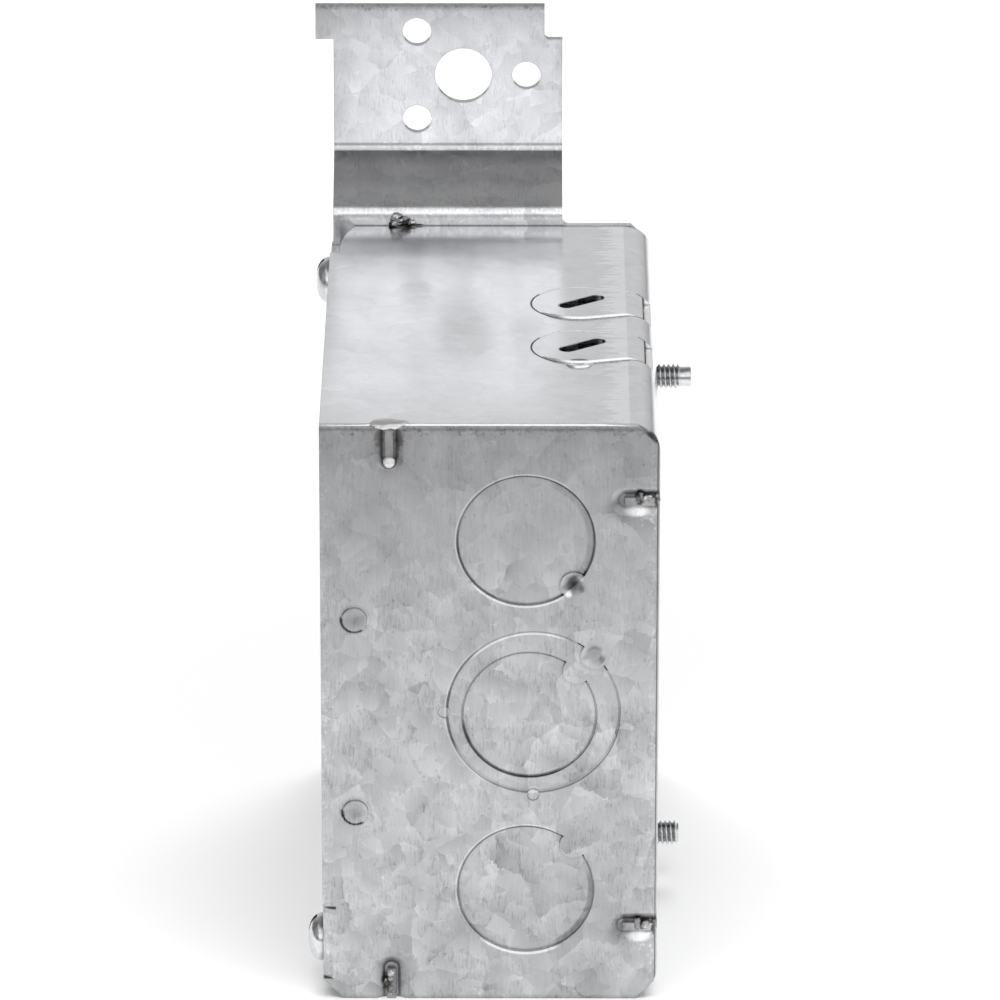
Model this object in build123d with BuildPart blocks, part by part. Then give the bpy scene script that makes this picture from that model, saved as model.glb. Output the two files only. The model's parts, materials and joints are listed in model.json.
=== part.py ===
from build123d import *
import os

# Square steel outlet box with a stand-off stud bracket, cable clamps and cover screws.
# X runs from the open front to the back, Y from the plain side to the bracket side, Z up.
# The origin is the centre of the bottom face, on which the box stands.

# Sheet and outside of the box
sheet = 1.59
box_depth = 55.56
box_width = 101.6
box_height = 101.6
wrap_bend = 4.8

# Side plates: setback from the back face and cut corners
plate_setback = 0.45
back_corner_cut = 3.2
ear_corner_cut = 3.5

# Knockouts: ring gap, ties that hold the slug, and how far each slug is pressed in
half_inch_slug = 22.2
ko_from_front = 33.7
ko_pitch = 30.97
large_slug = 28.2
small_slug = 21.8
large_slug_from_front = 34.93
large_slug_lift = 0.7
small_slug_from_front = 34.29
small_slug_lift = 0.15
ko_gap = 0.3
ko_press = 0.3
small_slug_press = 0.25
tie_radius = 2.3
tie_angle = 45
tie_dimple_radius = 1.9
tie_dimple_depth = 0.6
tie_dimple_taper = 55
nib_radius = 1.0
nib_outset = 0.65
nib_depth = 0.15
side_nib_angle = 180
low_nib_angle = 270

# Half-sheared buttons near the front edge of each side plate
button_dia = 4.2
button_proud = 0.45
button_from_front = 5.55
button_pitch = 34.2

# Pressed weld marks at the edges of the side plates: an oblong dish with a bar left standing in it
weld_from_front = 11.4
weld_from_corner = 13.0
weld_dish_length = 7.6
weld_dish_width = 4.9
weld_dish_depth = 0.8
weld_dish_taper = 60
weld_bar_length = 5.3
weld_bar_width = 1.4

# Ears folded in at the front for the cover screws
ear_reach = 15.2
ear_length = 12.6
ear_bend = 2.2
ear_corner = 4.5
ear_relief = 0.5
screw_inset = 7.8

# Bracket: a strip that carries on from one side plate, set off from it by two bends
strip_from_front = 0.3
strip_width = 39.75
standoff = 11.11
joggle_start = 2.84
joggle_end = 10.14
strip_rise = 36.44
low_inner_bend = 1.0
high_inner_bend = 0.4
strip_base_fillet = 1.2
stop_tab_reach = 3.1
stop_tab_height = 6.1
stop_notch_fillet = 0.8
bolt_hole_dia = 9.9
nail_hole_dia = 5.0
hole_row_drop = 12.7
bolt_hole_offset = 2.67
nail_pair_offset = -5.38
nail_pair_pitch = 15.88
single_nail_offset = 13.62

# Pry-outs for cable in the top and bottom walls, two to each wall
pry_line = -1.8
pry_pitch = 21.7
pry_from_front = 34.7
pry_radius = 7.9
pry_end_width = 10.8
pry_end_gap = 0.55
pry_gap = 0.25
pry_window_drop = 2.2
pry_slot_length = 9.1
pry_slot_width = 2.8
pry_slot_angle = 37
pry_slot_from_front = 43.1
pry_slot_offset = 1.0
pry_tie_radius = 2.3
pry_tie_from_front = 42.5
pry_dish_depth = 0.3
pry_dish_taper = 60

# Corner notches of the wrapper beside the ears
ear_notch_depth = 1.75
ear_notch_end = 4.3
ear_notch_length = 14.0
ear_notch_straight = 3.0

# Back wall: knockouts and a raised tapped seat for a ground screw
back_ko_pitch = 56.0
ground_hole_dia = 4.1
ground_seat_radius = 6.0
ground_seat_height = 1.8
ground_seat_taper = 35

# Cable clamps: one strap over the two cables of a wall, on one screw
clamp_wall_clearance = 0.4
clamp_length = 12.0
clamp_foot = 3.6
clamp_arch_width = 9.6
clamp_arch_height = 7.6
clamp_land_height = 3.4
clamp_bend = 1.8
clamp_corner = 1.2
clamp_screw_inset = 9.1

# Screws, all of one thread size
thread_dia = 4.17
thread_clearance = 0.1
clamp_hole_clearance = 0.35
head_dia = 8.1
head_height = 2.6
head_chamfer = 1.0
drive_slot_width = 1.2
drive_slot_depth = 1.1
tip_chamfer = 0.5
cover_screw_length = 9.5
upper_clamp_screw_reach = 5.9
lower_clamp_screw_reach = 4.4
dog_point_dia = 3.3
dog_point_length = 1.7

# Faces that the pieces share
front_x = -box_depth / 2
back_x = box_depth / 2
near_y = -box_width / 2
far_y = box_width / 2
mid_z = box_height / 2
plate_back_x = back_x - plate_setback
inner_back_x = back_x - sheet
inner_far_y = far_y - sheet
near_face = Plane.XZ.offset(far_y)
back_face = Plane.YZ.offset(back_x)
box_axis = Axis((0, 0, mid_z), (1, 0, 0))
half_turn = 180
tapped_radius = thread_dia / 2 + thread_clearance
pry_end_x = inner_back_x - pry_end_gap
pry_centre_x = front_x + pry_from_front + pry_radius


def slug_area(face, centre, diameter, ties, rim=0.0):
    """Round area of a slug, or of a rim round it, less its ties; a tie is an angle, a radius and an outset."""
    with BuildSketch(face) as area:
        with Locations(centre):
            Circle(diameter / 2 + rim)
            if rim:
                Circle(diameter / 2, mode=Mode.SUBTRACT)
            for angle, radius, outset in ties:
                with PolarLocations(diameter / 2 + outset, 1, start_angle=angle):
                    Circle(radius, mode=Mode.SUBTRACT)
    return area.sketch


def cut_knockout(face, centre, diameter, angle, pressed, nibs=()):
    """Slug pressed in a little and sheared round its edge, held by a tie, with small pressed nibs."""
    small_ties = [(nib_angle, nib_radius, nib_outset) for nib_angle in nibs]
    ties = [(angle, tie_radius, 0)] + small_ties
    extrude(slug_area(face, centre, diameter, ties), amount=-pressed, mode=Mode.SUBTRACT)
    extrude(slug_area(face.offset(-sheet), centre, diameter, ties), amount=-pressed)
    extrude(slug_area(face, centre, diameter, ties, ko_gap), amount=-sheet - pressed, mode=Mode.SUBTRACT)
    for nib_angle in nibs:
        with BuildSketch(face) as nib:
            with Locations(centre):
                with PolarLocations(diameter / 2 + nib_outset, 1, start_angle=nib_angle):
                    Circle(nib_radius)
        extrude(nib.sketch, amount=-nib_depth, mode=Mode.SUBTRACT)


def dimple_tie(face, centre, diameter, angle):
    """Punch mark in the tie of a slug."""
    with BuildSketch(face) as dimple:
        with Locations(centre):
            with PolarLocations(diameter / 2, 1, start_angle=angle):
                Circle(tie_dimple_radius)
    extrude(dimple.sketch, amount=-tie_dimple_depth, taper=tie_dimple_taper, mode=Mode.SUBTRACT)


def weld_spots():
    """Weld marks as edge points of a side plate, each with the angle that leads in from the edge."""
    x = front_x + weld_from_front
    return [
        (x, box_height, -90),
        (x, 0, 90),
        (plate_back_x, box_height - weld_from_corner, 180),
        (plate_back_x, weld_from_corner, 180),
    ]


def pry_tongue(y):
    """Outline of a pry-out: a round front end that narrows to the bend at the back."""
    with BuildSketch() as tongue:
        with Locations((pry_centre_x, y)):
            Circle(pry_radius)
        with Locations((pry_end_x, y)):
            Rectangle(pry_end_gap, pry_end_width, align=(Align.MAX, Align.CENTER))
        make_hull()
    return tongue.sketch


# Side plate: the pressing that both sides of the box are made from
with BuildPart() as side_blank:
    with BuildSketch(near_face) as outline:
        with Locations((front_x, 0)):
            Rectangle(box_depth - plate_setback, box_height, align=(Align.MIN, Align.MIN))
        chamfer(outline.vertices().group_by(Axis.X)[-1], back_corner_cut)
        ear_corner_point = outline.vertices().group_by(Axis.X)[0].sort_by(Axis.Y)[0]
        chamfer(ear_corner_point, ear_corner_cut)
    extrude(amount=-sheet)

    ko_x = front_x + ko_from_front
    upper_centre = (ko_x, mid_z + ko_pitch)
    cut_knockout(near_face, upper_centre, half_inch_slug, -tie_angle, ko_press)
    dimple_tie(near_face, upper_centre, half_inch_slug, -tie_angle)
    cut_knockout(near_face, (ko_x, mid_z - ko_pitch), half_inch_slug, tie_angle, ko_press)
    large_centre = (front_x + large_slug_from_front, mid_z + large_slug_lift)
    small_centre = (front_x + small_slug_from_front, mid_z + small_slug_lift)
    large_nibs = [side_nib_angle, low_nib_angle]
    cut_knockout(near_face, large_centre, large_slug, tie_angle, ko_press, large_nibs)
    dimple_tie(near_face, large_centre, large_slug, tie_angle)
    pressed_face = near_face.offset(-ko_press)
    cut_knockout(pressed_face, small_centre, small_slug, tie_angle, small_slug_press)

    with BuildSketch(near_face) as buttons:
        with Locations((front_x + button_from_front, mid_z)):
            with GridLocations(0, button_pitch, 1, 2):
                Circle(button_dia / 2)
    extrude(amount=button_proud)
    with BuildSketch(near_face.offset(-sheet)) as button_recesses:
        with Locations((front_x + button_from_front, mid_z)):
            with GridLocations(0, button_pitch, 1, 2):
                Circle(button_dia / 2)
    extrude(amount=button_proud, mode=Mode.SUBTRACT)

    for weld_x, weld_z, weld_angle in weld_spots():
        weld_place = near_face * Location((weld_x, weld_z, 0), (0, 0, weld_angle))
        weld_plane = Plane(weld_place)
        with BuildSketch(weld_plane) as dish:
            SlotOverall(2 * weld_dish_length, weld_dish_width)
        extrude(amount=-weld_dish_depth, taper=weld_dish_taper, mode=Mode.SUBTRACT)
        with BuildSketch(weld_plane) as bar:
            Rectangle(weld_bar_length, weld_bar_width, align=(Align.MIN, Align.CENTER))
        extrude(amount=-sheet)

    ear_plane = Plane.XY.offset(ear_corner_cut)
    with BuildSketch(ear_plane) as ear_root:
        with Locations((front_x, near_y)):
            Rectangle(ear_bend, sheet, align=(Align.MIN, Align.MIN))
    extrude(amount=ear_length + ear_relief, mode=Mode.SUBTRACT)
    with BuildSketch(ear_plane) as ear_section:
        with BuildLine() as ear_line:
            FilletPolyline(
                (front_x + ear_bend + ear_relief, near_y),
                (front_x, near_y),
                (front_x, near_y + ear_reach),
                radius=ear_bend,
            )
            offset(amount=sheet, side=Side.RIGHT)
        make_face()
    extrude(amount=ear_length)
    ear_tip = side_blank.edges().filter_by(Axis.X).group_by(Axis.Y)[-1]
    fillet(ear_tip, ear_corner)
    with BuildSketch(Plane.YZ.offset(front_x)) as ear_hole:
        with Locations((near_y + screw_inset, screw_inset)):
            Circle(tapped_radius)
    extrude(amount=sheet, mode=Mode.SUBTRACT)

with BuildPart() as plain_side:
    add(side_blank.part)

# Bracket side: the same pressing turned half round, with the strip carried on above the box
with BuildPart() as bracket_side:
    add(side_blank.part.rotate(box_axis, half_turn))

    strip_left = front_x + strip_from_front
    strip_right = strip_left + strip_width
    strip_top = box_height + strip_rise
    low_outer_bend = low_inner_bend + sheet
    with BuildSketch(Plane.YZ.offset(strip_left)) as strip_section:
        with BuildLine() as strip_line:
            FilletPolyline(
                (inner_far_y, box_height - ear_corner_cut + ear_relief),
                (inner_far_y, box_height + joggle_start),
                (inner_far_y + standoff, box_height + joggle_end),
                (inner_far_y + standoff, strip_top),
                radius=[low_outer_bend, high_inner_bend],
            )
            offset(amount=sheet, side=Side.RIGHT)
        make_face()
    extrude(amount=strip_width)
    base_corner = Vertex(strip_right, far_y, box_height)
    base_edge = bracket_side.edges().filter_by(Axis.Y).sort_by_distance(base_corner)[0]
    fillet(base_edge, strip_base_fillet)

    stud_face = Plane.XZ.offset(-far_y - standoff)
    with BuildSketch(stud_face) as stop_tab:
        with Locations((strip_left, strip_top)):
            Rectangle(stop_tab_reach, stop_tab_height, align=(Align.MAX, Align.MAX))
    extrude(amount=sheet)
    with BuildSketch(stud_face) as stop_notch:
        with Locations((strip_right, strip_top)):
            Rectangle(stop_tab_reach, stop_tab_height, align=(Align.MAX, Align.MAX))
        notch_corner = stop_notch.vertices().group_by(Axis.X)[0].sort_by(Axis.Y)[0]
        fillet(notch_corner, stop_notch_fillet)
    extrude(amount=sheet, mode=Mode.SUBTRACT)
    with BuildSketch(stud_face) as strip_holes:
        strip_mid = (strip_left + strip_right) / 2
        hole_row_z = strip_top - hole_row_drop
        with Locations((strip_mid + bolt_hole_offset, hole_row_z)):
            Circle(bolt_hole_dia / 2)
        with Locations((strip_mid + nail_pair_offset, hole_row_z)):
            with GridLocations(0, nail_pair_pitch, 1, 2):
                Circle(nail_hole_dia / 2)
        with Locations((strip_mid + single_nail_offset, hole_row_z)):
            Circle(nail_hole_dia / 2)
    extrude(amount=sheet, mode=Mode.SUBTRACT)

# Wrapper: top, back and bottom walls folded from one strip between the side plates
with BuildPart() as wrapper:
    with BuildSketch(Plane.XZ) as wrap_section:
        with BuildLine() as wrap_line:
            FilletPolyline(
                (front_x, box_height),
                (back_x, box_height),
                (back_x, 0),
                (front_x, 0),
                radius=wrap_bend,
            )
            offset(amount=sheet, side=Side.RIGHT)
        make_face()
    extrude(amount=inner_far_y, both=True)

    for wall_z, inward in ((box_height, -1), (0, 1)):
        wall = Plane.XY.offset(wall_z)
        for side in (-1, 1):
            pry_y = pry_line + side * pry_pitch / 2
            with BuildSketch(wall) as pry_edge:
                add(pry_tongue(pry_y))
                offset(amount=pry_gap)
                add(pry_tongue(pry_y), mode=Mode.SUBTRACT)
                with Locations((front_x + pry_tie_from_front, pry_y + side * pry_radius)):
                    Circle(pry_tie_radius, mode=Mode.SUBTRACT)
            extrude(amount=inward * wrap_bend, mode=Mode.SUBTRACT)
            with BuildSketch(wall) as pry_slot:
                with Locations((front_x + pry_slot_from_front, pry_y + pry_slot_offset)):
                    SlotOverall(pry_slot_length, pry_slot_width, rotation=pry_slot_angle)
            extrude(amount=inward * sheet, mode=Mode.SUBTRACT)
            with BuildSketch(wall) as pry_window:
                with Locations((pry_end_x, pry_y)):
                    Rectangle(back_x - pry_end_x, pry_end_width, align=(Align.MIN, Align.CENTER))
            extrude(amount=inward * pry_window_drop, mode=Mode.SUBTRACT)
        with BuildSketch(wall) as pry_dish:
            with Locations((front_x + pry_tie_from_front, pry_line - pry_pitch / 2 - pry_radius)):
                Circle(pry_tie_radius)
        extrude(amount=inward * pry_dish_depth, taper=pry_dish_taper, mode=Mode.SUBTRACT)

    for wall_z, inward in ((box_height, -1), (0, 1)):
        ear_side = -inward
        notch_start = ear_side * (inner_far_y - ear_notch_length)
        notch_bend = notch_start + ear_side * ear_notch_straight
        with BuildSketch(Plane.XY.offset(wall_z)) as ear_notch:
            with BuildLine() as notch_line:
                notch_side = Polyline(
                    (front_x, ear_side * inner_far_y),
                    (front_x, notch_start),
                    (front_x + ear_notch_depth, notch_start),
                    (front_x + ear_notch_depth, notch_bend),
                )
                notch_end = TangentArc(
                    notch_side @ 1,
                    (front_x + ear_notch_end, ear_side * inner_far_y),
                    tangent=notch_side % 1,
                )
                Line(notch_end @ 1, notch_side @ 0)
            make_face()
        extrude(amount=inward * sheet, mode=Mode.SUBTRACT)

    for side in (-1, 1):
        cut_knockout(back_face, (side * back_ko_pitch / 2, mid_z), half_inch_slug, tie_angle, ko_press)
    with BuildSketch(back_face.offset(-sheet)) as ground_seat:
        with Locations((0, mid_z)):
            Circle(ground_seat_radius)
    extrude(amount=-ground_seat_height, taper=ground_seat_taper)
    with BuildSketch(back_face) as ground_recess:
        with Locations((0, mid_z)):
            Circle(ground_seat_radius - sheet / 2)
    extrude(amount=-ground_seat_height, taper=ground_seat_taper, mode=Mode.SUBTRACT)
    with BuildSketch(back_face) as back_holes:
        with Locations((0, mid_z)):
            Circle(ground_hole_dia / 2)
        with Locations((pry_line, mid_z)):
            with GridLocations(0, box_height - 2 * clamp_screw_inset, 1, 2):
                Circle(tapped_radius)
    extrude(amount=-sheet - ground_seat_height, mode=Mode.SUBTRACT)


def clamp_strap(bottom_z):
    """Section of a cable clamp, seen from above: feet on the back wall, two arches, a land between."""
    arch_inner = pry_pitch / 2 - clamp_arch_width / 2
    arch_outer = pry_pitch / 2 + clamp_arch_width / 2
    half_line = [
        (arch_outer + clamp_foot, 0),
        (arch_outer, 0),
        (arch_outer, clamp_arch_height),
        (arch_inner, clamp_arch_height),
        (arch_inner, clamp_land_height),
    ]
    right_half = [(inner_back_x - height, pry_line + y) for y, height in half_line]
    left_half = [(inner_back_x - height, pry_line - y) for y, height in reversed(half_line)]
    with BuildSketch(Plane.XY.offset(bottom_z)) as section:
        with BuildLine():
            FilletPolyline(*right_half, *left_half, radius=clamp_bend)
            offset(amount=sheet, side=Side.RIGHT)
        make_face()
    return section.sketch


upper_clamp_z = box_height - wrap_bend - clamp_wall_clearance - clamp_length
lower_clamp_z = wrap_bend + clamp_wall_clearance
upper_screw_z = box_height - clamp_screw_inset
land_x = inner_back_x - clamp_land_height - sheet

# Cable clamps inside the box, at the top and the bottom of the back wall
clamps = {}
for name, clamp_z, screw_z in (
    ("upper_cable_clamp", upper_clamp_z, upper_screw_z),
    ("lower_cable_clamp", lower_clamp_z, clamp_screw_inset),
):
    with BuildPart() as clamp:
        extrude(clamp_strap(clamp_z), amount=clamp_length)
        foot_ends = clamp.edges().filter_by(Axis.X)
        fillet(foot_ends.group_by(Axis.Y)[0] + foot_ends.group_by(Axis.Y)[-1], clamp_corner)
        with BuildSketch(Plane.YZ.offset(land_x)) as clamp_hole:
            with Locations((pry_line, screw_z)):
                Circle(thread_dia / 2 + clamp_hole_clearance)
        extrude(amount=sheet, mode=Mode.SUBTRACT)
    clamps[name] = clamp


def screw_section(seat_x, y, z, length, tip):
    """Half section of a pan head screw along X; the tip's corners count back from its end."""
    tip_corners = [(length - back, radius) for back, radius in tip]
    with BuildSketch(Plane((seat_x, y, z), x_dir=(1, 0, 0), z_dir=(0, -1, 0))) as section:
        with BuildLine():
            Polyline(
                (-head_height, 0),
                (-head_height, head_dia / 2),
                (0, head_dia / 2),
                (0, thread_dia / 2),
                *tip_corners,
                (length, 0),
                close=True,
            )
        make_face()
        head_rim = section.vertices().group_by(Axis.X)[0].sort_by(Axis.Y)[-1]
        chamfer(head_rim, head_chamfer)
    return section.sketch


# Screws: two for a cover at the front, two that hold the clamps and come out at the back
clamp_grip = back_x - land_x
upper_length = clamp_grip + upper_clamp_screw_reach
lower_length = clamp_grip + lower_clamp_screw_reach
upper_cover_z = box_height - screw_inset
plain_tip = [(tip_chamfer, thread_dia / 2), (0, thread_dia / 2 - tip_chamfer)]
dog_tip = [(dog_point_length, thread_dia / 2), (dog_point_length, dog_point_dia / 2), (0, dog_point_dia / 2)]
screws = {}
for name, seat_x, y, z, length, tip in (
    ("upper_cover_screw", front_x, far_y - screw_inset, upper_cover_z, cover_screw_length, plain_tip),
    ("lower_cover_screw", front_x, near_y + screw_inset, screw_inset, cover_screw_length, plain_tip),
    ("upper_clamp_screw", land_x, pry_line, upper_screw_z, upper_length, dog_tip),
    ("lower_clamp_screw", land_x, pry_line, clamp_screw_inset, lower_length, plain_tip),
):
    with BuildPart() as screw:
        axis = Axis((seat_x, y, z), (1, 0, 0))
        revolve(screw_section(seat_x, y, z, length, tip), axis=axis)
        with BuildSketch(Plane.YZ.offset(seat_x - head_height)) as drive_slot:
            with Locations((y, z)):
                Rectangle(head_dia, drive_slot_width)
        extrude(amount=drive_slot_depth, mode=Mode.SUBTRACT)
    screws[name] = screw

pieces = {
    "wrapper": wrapper,
    "plain_side_plate": plain_side,
    "bracket_side_plate": bracket_side,
    **clamps,
    **screws,
}
os.makedirs("parts", exist_ok=True)
for name, piece in pieces.items():
    piece.part.label = name
    export_step(piece.part, f"parts/{name}.step")
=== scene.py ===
import json
import math
import random

import bmesh
import bpy
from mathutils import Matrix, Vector, noise

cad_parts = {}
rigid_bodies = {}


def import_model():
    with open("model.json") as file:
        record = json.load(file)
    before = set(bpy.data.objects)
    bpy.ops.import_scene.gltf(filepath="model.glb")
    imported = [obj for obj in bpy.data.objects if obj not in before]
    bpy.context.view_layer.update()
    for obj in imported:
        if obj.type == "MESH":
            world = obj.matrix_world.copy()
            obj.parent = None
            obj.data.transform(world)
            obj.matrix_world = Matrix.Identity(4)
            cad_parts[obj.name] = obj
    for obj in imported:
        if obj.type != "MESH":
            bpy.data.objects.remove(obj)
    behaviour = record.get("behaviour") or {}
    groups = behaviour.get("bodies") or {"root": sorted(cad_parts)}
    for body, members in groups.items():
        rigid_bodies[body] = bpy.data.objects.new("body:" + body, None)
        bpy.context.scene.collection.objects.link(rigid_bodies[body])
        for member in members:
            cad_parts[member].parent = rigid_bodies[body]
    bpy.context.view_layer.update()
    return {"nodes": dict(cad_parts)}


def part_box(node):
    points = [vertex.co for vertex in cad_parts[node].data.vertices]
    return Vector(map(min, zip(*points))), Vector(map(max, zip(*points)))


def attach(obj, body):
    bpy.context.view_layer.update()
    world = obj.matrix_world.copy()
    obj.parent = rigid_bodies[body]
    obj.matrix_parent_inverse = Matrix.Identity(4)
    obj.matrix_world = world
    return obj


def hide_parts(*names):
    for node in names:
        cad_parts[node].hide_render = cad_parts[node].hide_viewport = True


for thing in list(bpy.data.objects):
    bpy.data.objects.remove(thing)
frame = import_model()
nodes = frame["nodes"]

MM = 0.001
SPATTER_SEED = 7

# Places on the solids, in millimetres. Knockout centres are x and z on the near plate.
near_y, wall_top, far_seam_y = -50.8, 101.6, 49.2
upper_ko, lower_ko, half_inch = (5.92, 81.77), (5.92, 19.83), 11.1
middle_ko, large = (7.15, 51.5), 14.1
inner_ko, small = (6.51, 50.95), 10.9
button_x, button_heights = -22.23, (67.9, 33.7)
left_weld_x = -16.4
tongue_ys = {"near": -12.65, "far": 9.05}
tongue_x, tongue_radius, tongue_end, end_half = 14.82, 7.9, 25.6, 5.4
bend_start, bend_radius = 22.98, 4.8
dish_x, dish_y, dish_radius = 14.72, -20.55, 2.3


def paint(obj, material):
    """Gives a piece one material, in its object's slot."""
    if not obj.data.materials:
        obj.data.materials.append(material)
    for holder in obj.material_slots:
        holder.link = "OBJECT"
        holder.material = material


class Nodes:
    """Short ways to add and join the nodes of one material or world."""

    def __init__(self, tree):
        self.tree = tree

    def add(self, kind, **settings):
        node = self.tree.nodes.new(kind)
        for name, value in settings.items():
            setattr(node, name, value)
        return node

    def put(self, node, inputs):
        for name, value in inputs.items():
            if isinstance(value, bpy.types.NodeSocket):
                self.tree.links.new(value, node.inputs[name])
            else:
                node.inputs[name].default_value = value
        return node

    def math(self, operation, *values):
        node = self.add("ShaderNodeMath", operation=operation)
        return self.put(node, dict(enumerate(values))).outputs[0]

    def vector_math(self, operation, *values):
        node = self.add("ShaderNodeVectorMath", operation=operation)
        return self.put(node, dict(enumerate(values)))

    def vector(self, x, y, z):
        return self.put(self.add("ShaderNodeCombineXYZ"), {0: x, 1: y, 2: z}).outputs[0]

    def split(self, vector):
        node = self.put(self.add("ShaderNodeSeparateXYZ"), {0: vector})
        return node.outputs[0], node.outputs[1], node.outputs[2]

    def noise(self, vector, scale, detail=2.0, roughness=0.5):
        node = self.add("ShaderNodeTexNoise")
        self.put(node, {"Vector": vector, "Scale": scale, "Detail": detail, "Roughness": roughness})
        return node.outputs["Fac"]

    def cells(self, vector, scale, metric="EUCLIDEAN"):
        """Random cells: two random numbers per cell, a slope across it, and the distance to its middle."""
        node = self.add("ShaderNodeTexVoronoi", feature="F1", distance=metric)
        self.put(node, {"Vector": vector, "Scale": scale})
        first, second, third = self.split(node.outputs["Color"])
        gap = self.vector_math("SUBTRACT", vector, node.outputs["Position"]).outputs[0]
        across, along, _ = self.split(gap)
        tilt = self.math("MULTIPLY", across, self.math("SUBTRACT", second, 0.5))
        tilt = self.math("MULTIPLY_ADD", along, self.math("SUBTRACT", third, 0.5), tilt)
        return first, third, self.math("MULTIPLY", tilt, scale), node.outputs["Distance"]

    def ramp(self, value, low, high, to_low=0.0, to_high=1.0, smooth=True):
        """Carries low to high over to to_low to to_high, and holds at both ends."""
        kind = "SMOOTHSTEP" if smooth else "LINEAR"
        node = self.add("ShaderNodeMapRange", interpolation_type=kind)
        return self.put(node, {0: value, 1: low, 2: high, 3: to_low, 4: to_high}).outputs[0]

    def mix(self, factor, first, second):
        node = self.add("ShaderNodeMix", data_type="RGBA")
        self.put(node, {0: factor, 6: first, 7: second})
        return node.outputs[2]

    def swing(self, value, amount, base):
        """base plus amount times value, with value counted from its middle, 0.5."""
        return self.math("MULTIPLY_ADD", self.math("SUBTRACT", value, 0.5), amount, base)

    def reach(self, place, centre, stretch):
        """Distance from a centre in millimetres, shortened or lengthened along each axis."""
        gap = self.vector_math("SUBTRACT", place, Vector(centre) * MM).outputs[0]
        scaled = self.vector_math("MULTIPLY", gap, Vector(stretch) / MM).outputs[0]
        return self.vector_math("LENGTH", scaled).outputs["Value"]

    def box(self, place, low, high):
        """One inside a box given by two corners in millimetres, zero outside, with a soft edge."""
        middle, half = (Vector(low) + Vector(high)) / 2, (Vector(high) - Vector(low)) / 2
        gap = self.vector_math("SUBTRACT", place, middle * MM).outputs[0]
        share = self.vector_math("DIVIDE", gap, half * MM).outputs[0]
        a, b, c = self.split(self.vector_math("ABSOLUTE", share).outputs[0])
        furthest = self.math("MAXIMUM", self.math("MAXIMUM", a, b), c)
        return self.ramp(furthest, 0.9, 1.0, 1.0, 0.0)

    def arc(self, x, z, centre, radius, width, first, last):
        """One on an arc of a circle in the XZ plane, between two angles in degrees, zero off it."""
        middle, half = math.radians(first + last) / 2, math.radians(last - first) / 2
        across = self.math("SUBTRACT", x, centre[0] * MM)
        along = self.math("SUBTRACT", z, centre[1] * MM)
        squares = self.math("MULTIPLY_ADD", across, across, self.math("MULTIPLY", along, along))
        distance = self.math("SQRT", squares)
        off = self.math("ABSOLUTE", self.math("SUBTRACT", distance, radius * MM))
        line = self.ramp(off, 0.3 * width * MM, width * MM, 1.0, 0.0)
        rise = self.math("MULTIPLY", along, math.sin(middle))
        lean = self.math("MULTIPLY_ADD", across, math.cos(middle), rise)
        facing = self.math("DIVIDE", lean, self.math("MAXIMUM", distance, 1e-6))
        faded_out = math.cos(min(math.pi, half + 0.2))
        return self.math("MULTIPLY", line, self.ramp(facing, faded_out, math.cos(half)))

    def hollow_shade(self, distance, low, high, dark):
        """Painted shade: one in the open, falling to dark in seams and grooves."""
        node = self.put(self.add("ShaderNodeAmbientOcclusion", samples=1), {"Distance": distance})
        return self.ramp(node.outputs["AO"], low, high, dark, 1.0, smooth=False)

    def bump(self, height, strength, distance, normal=None):
        node = self.add("ShaderNodeBump")
        self.put(node, {"Strength": strength, "Distance": distance, "Height": height})
        if normal is not None:
            self.put(node, {"Normal": normal})
        return node.outputs[0]

    def seen(self):
        """One for rays from the camera, from a mirror or through glass."""
        path = self.add("ShaderNodeLightPath").outputs
        straight = self.math("MAXIMUM", path["Is Camera Ray"], path["Is Glossy Ray"])
        return self.math("MAXIMUM", straight, path["Is Transmission Ray"])

    def metal(self, colour, roughness, normal):
        """Ends a material with a bare metal surface."""
        shader = self.add("ShaderNodeBsdfPrincipled")
        self.put(shader, {"Base Color": colour, "Metallic": 1.0, "Roughness": roughness, "Normal": normal})
        self.put(self.add("ShaderNodeOutputMaterial"), {0: shader.outputs[0]})


def new_material(name):
    material = bpy.data.materials.new(name)
    material.use_nodes = True
    material.node_tree.nodes.clear()
    return material, Nodes(material.node_tree)


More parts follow.
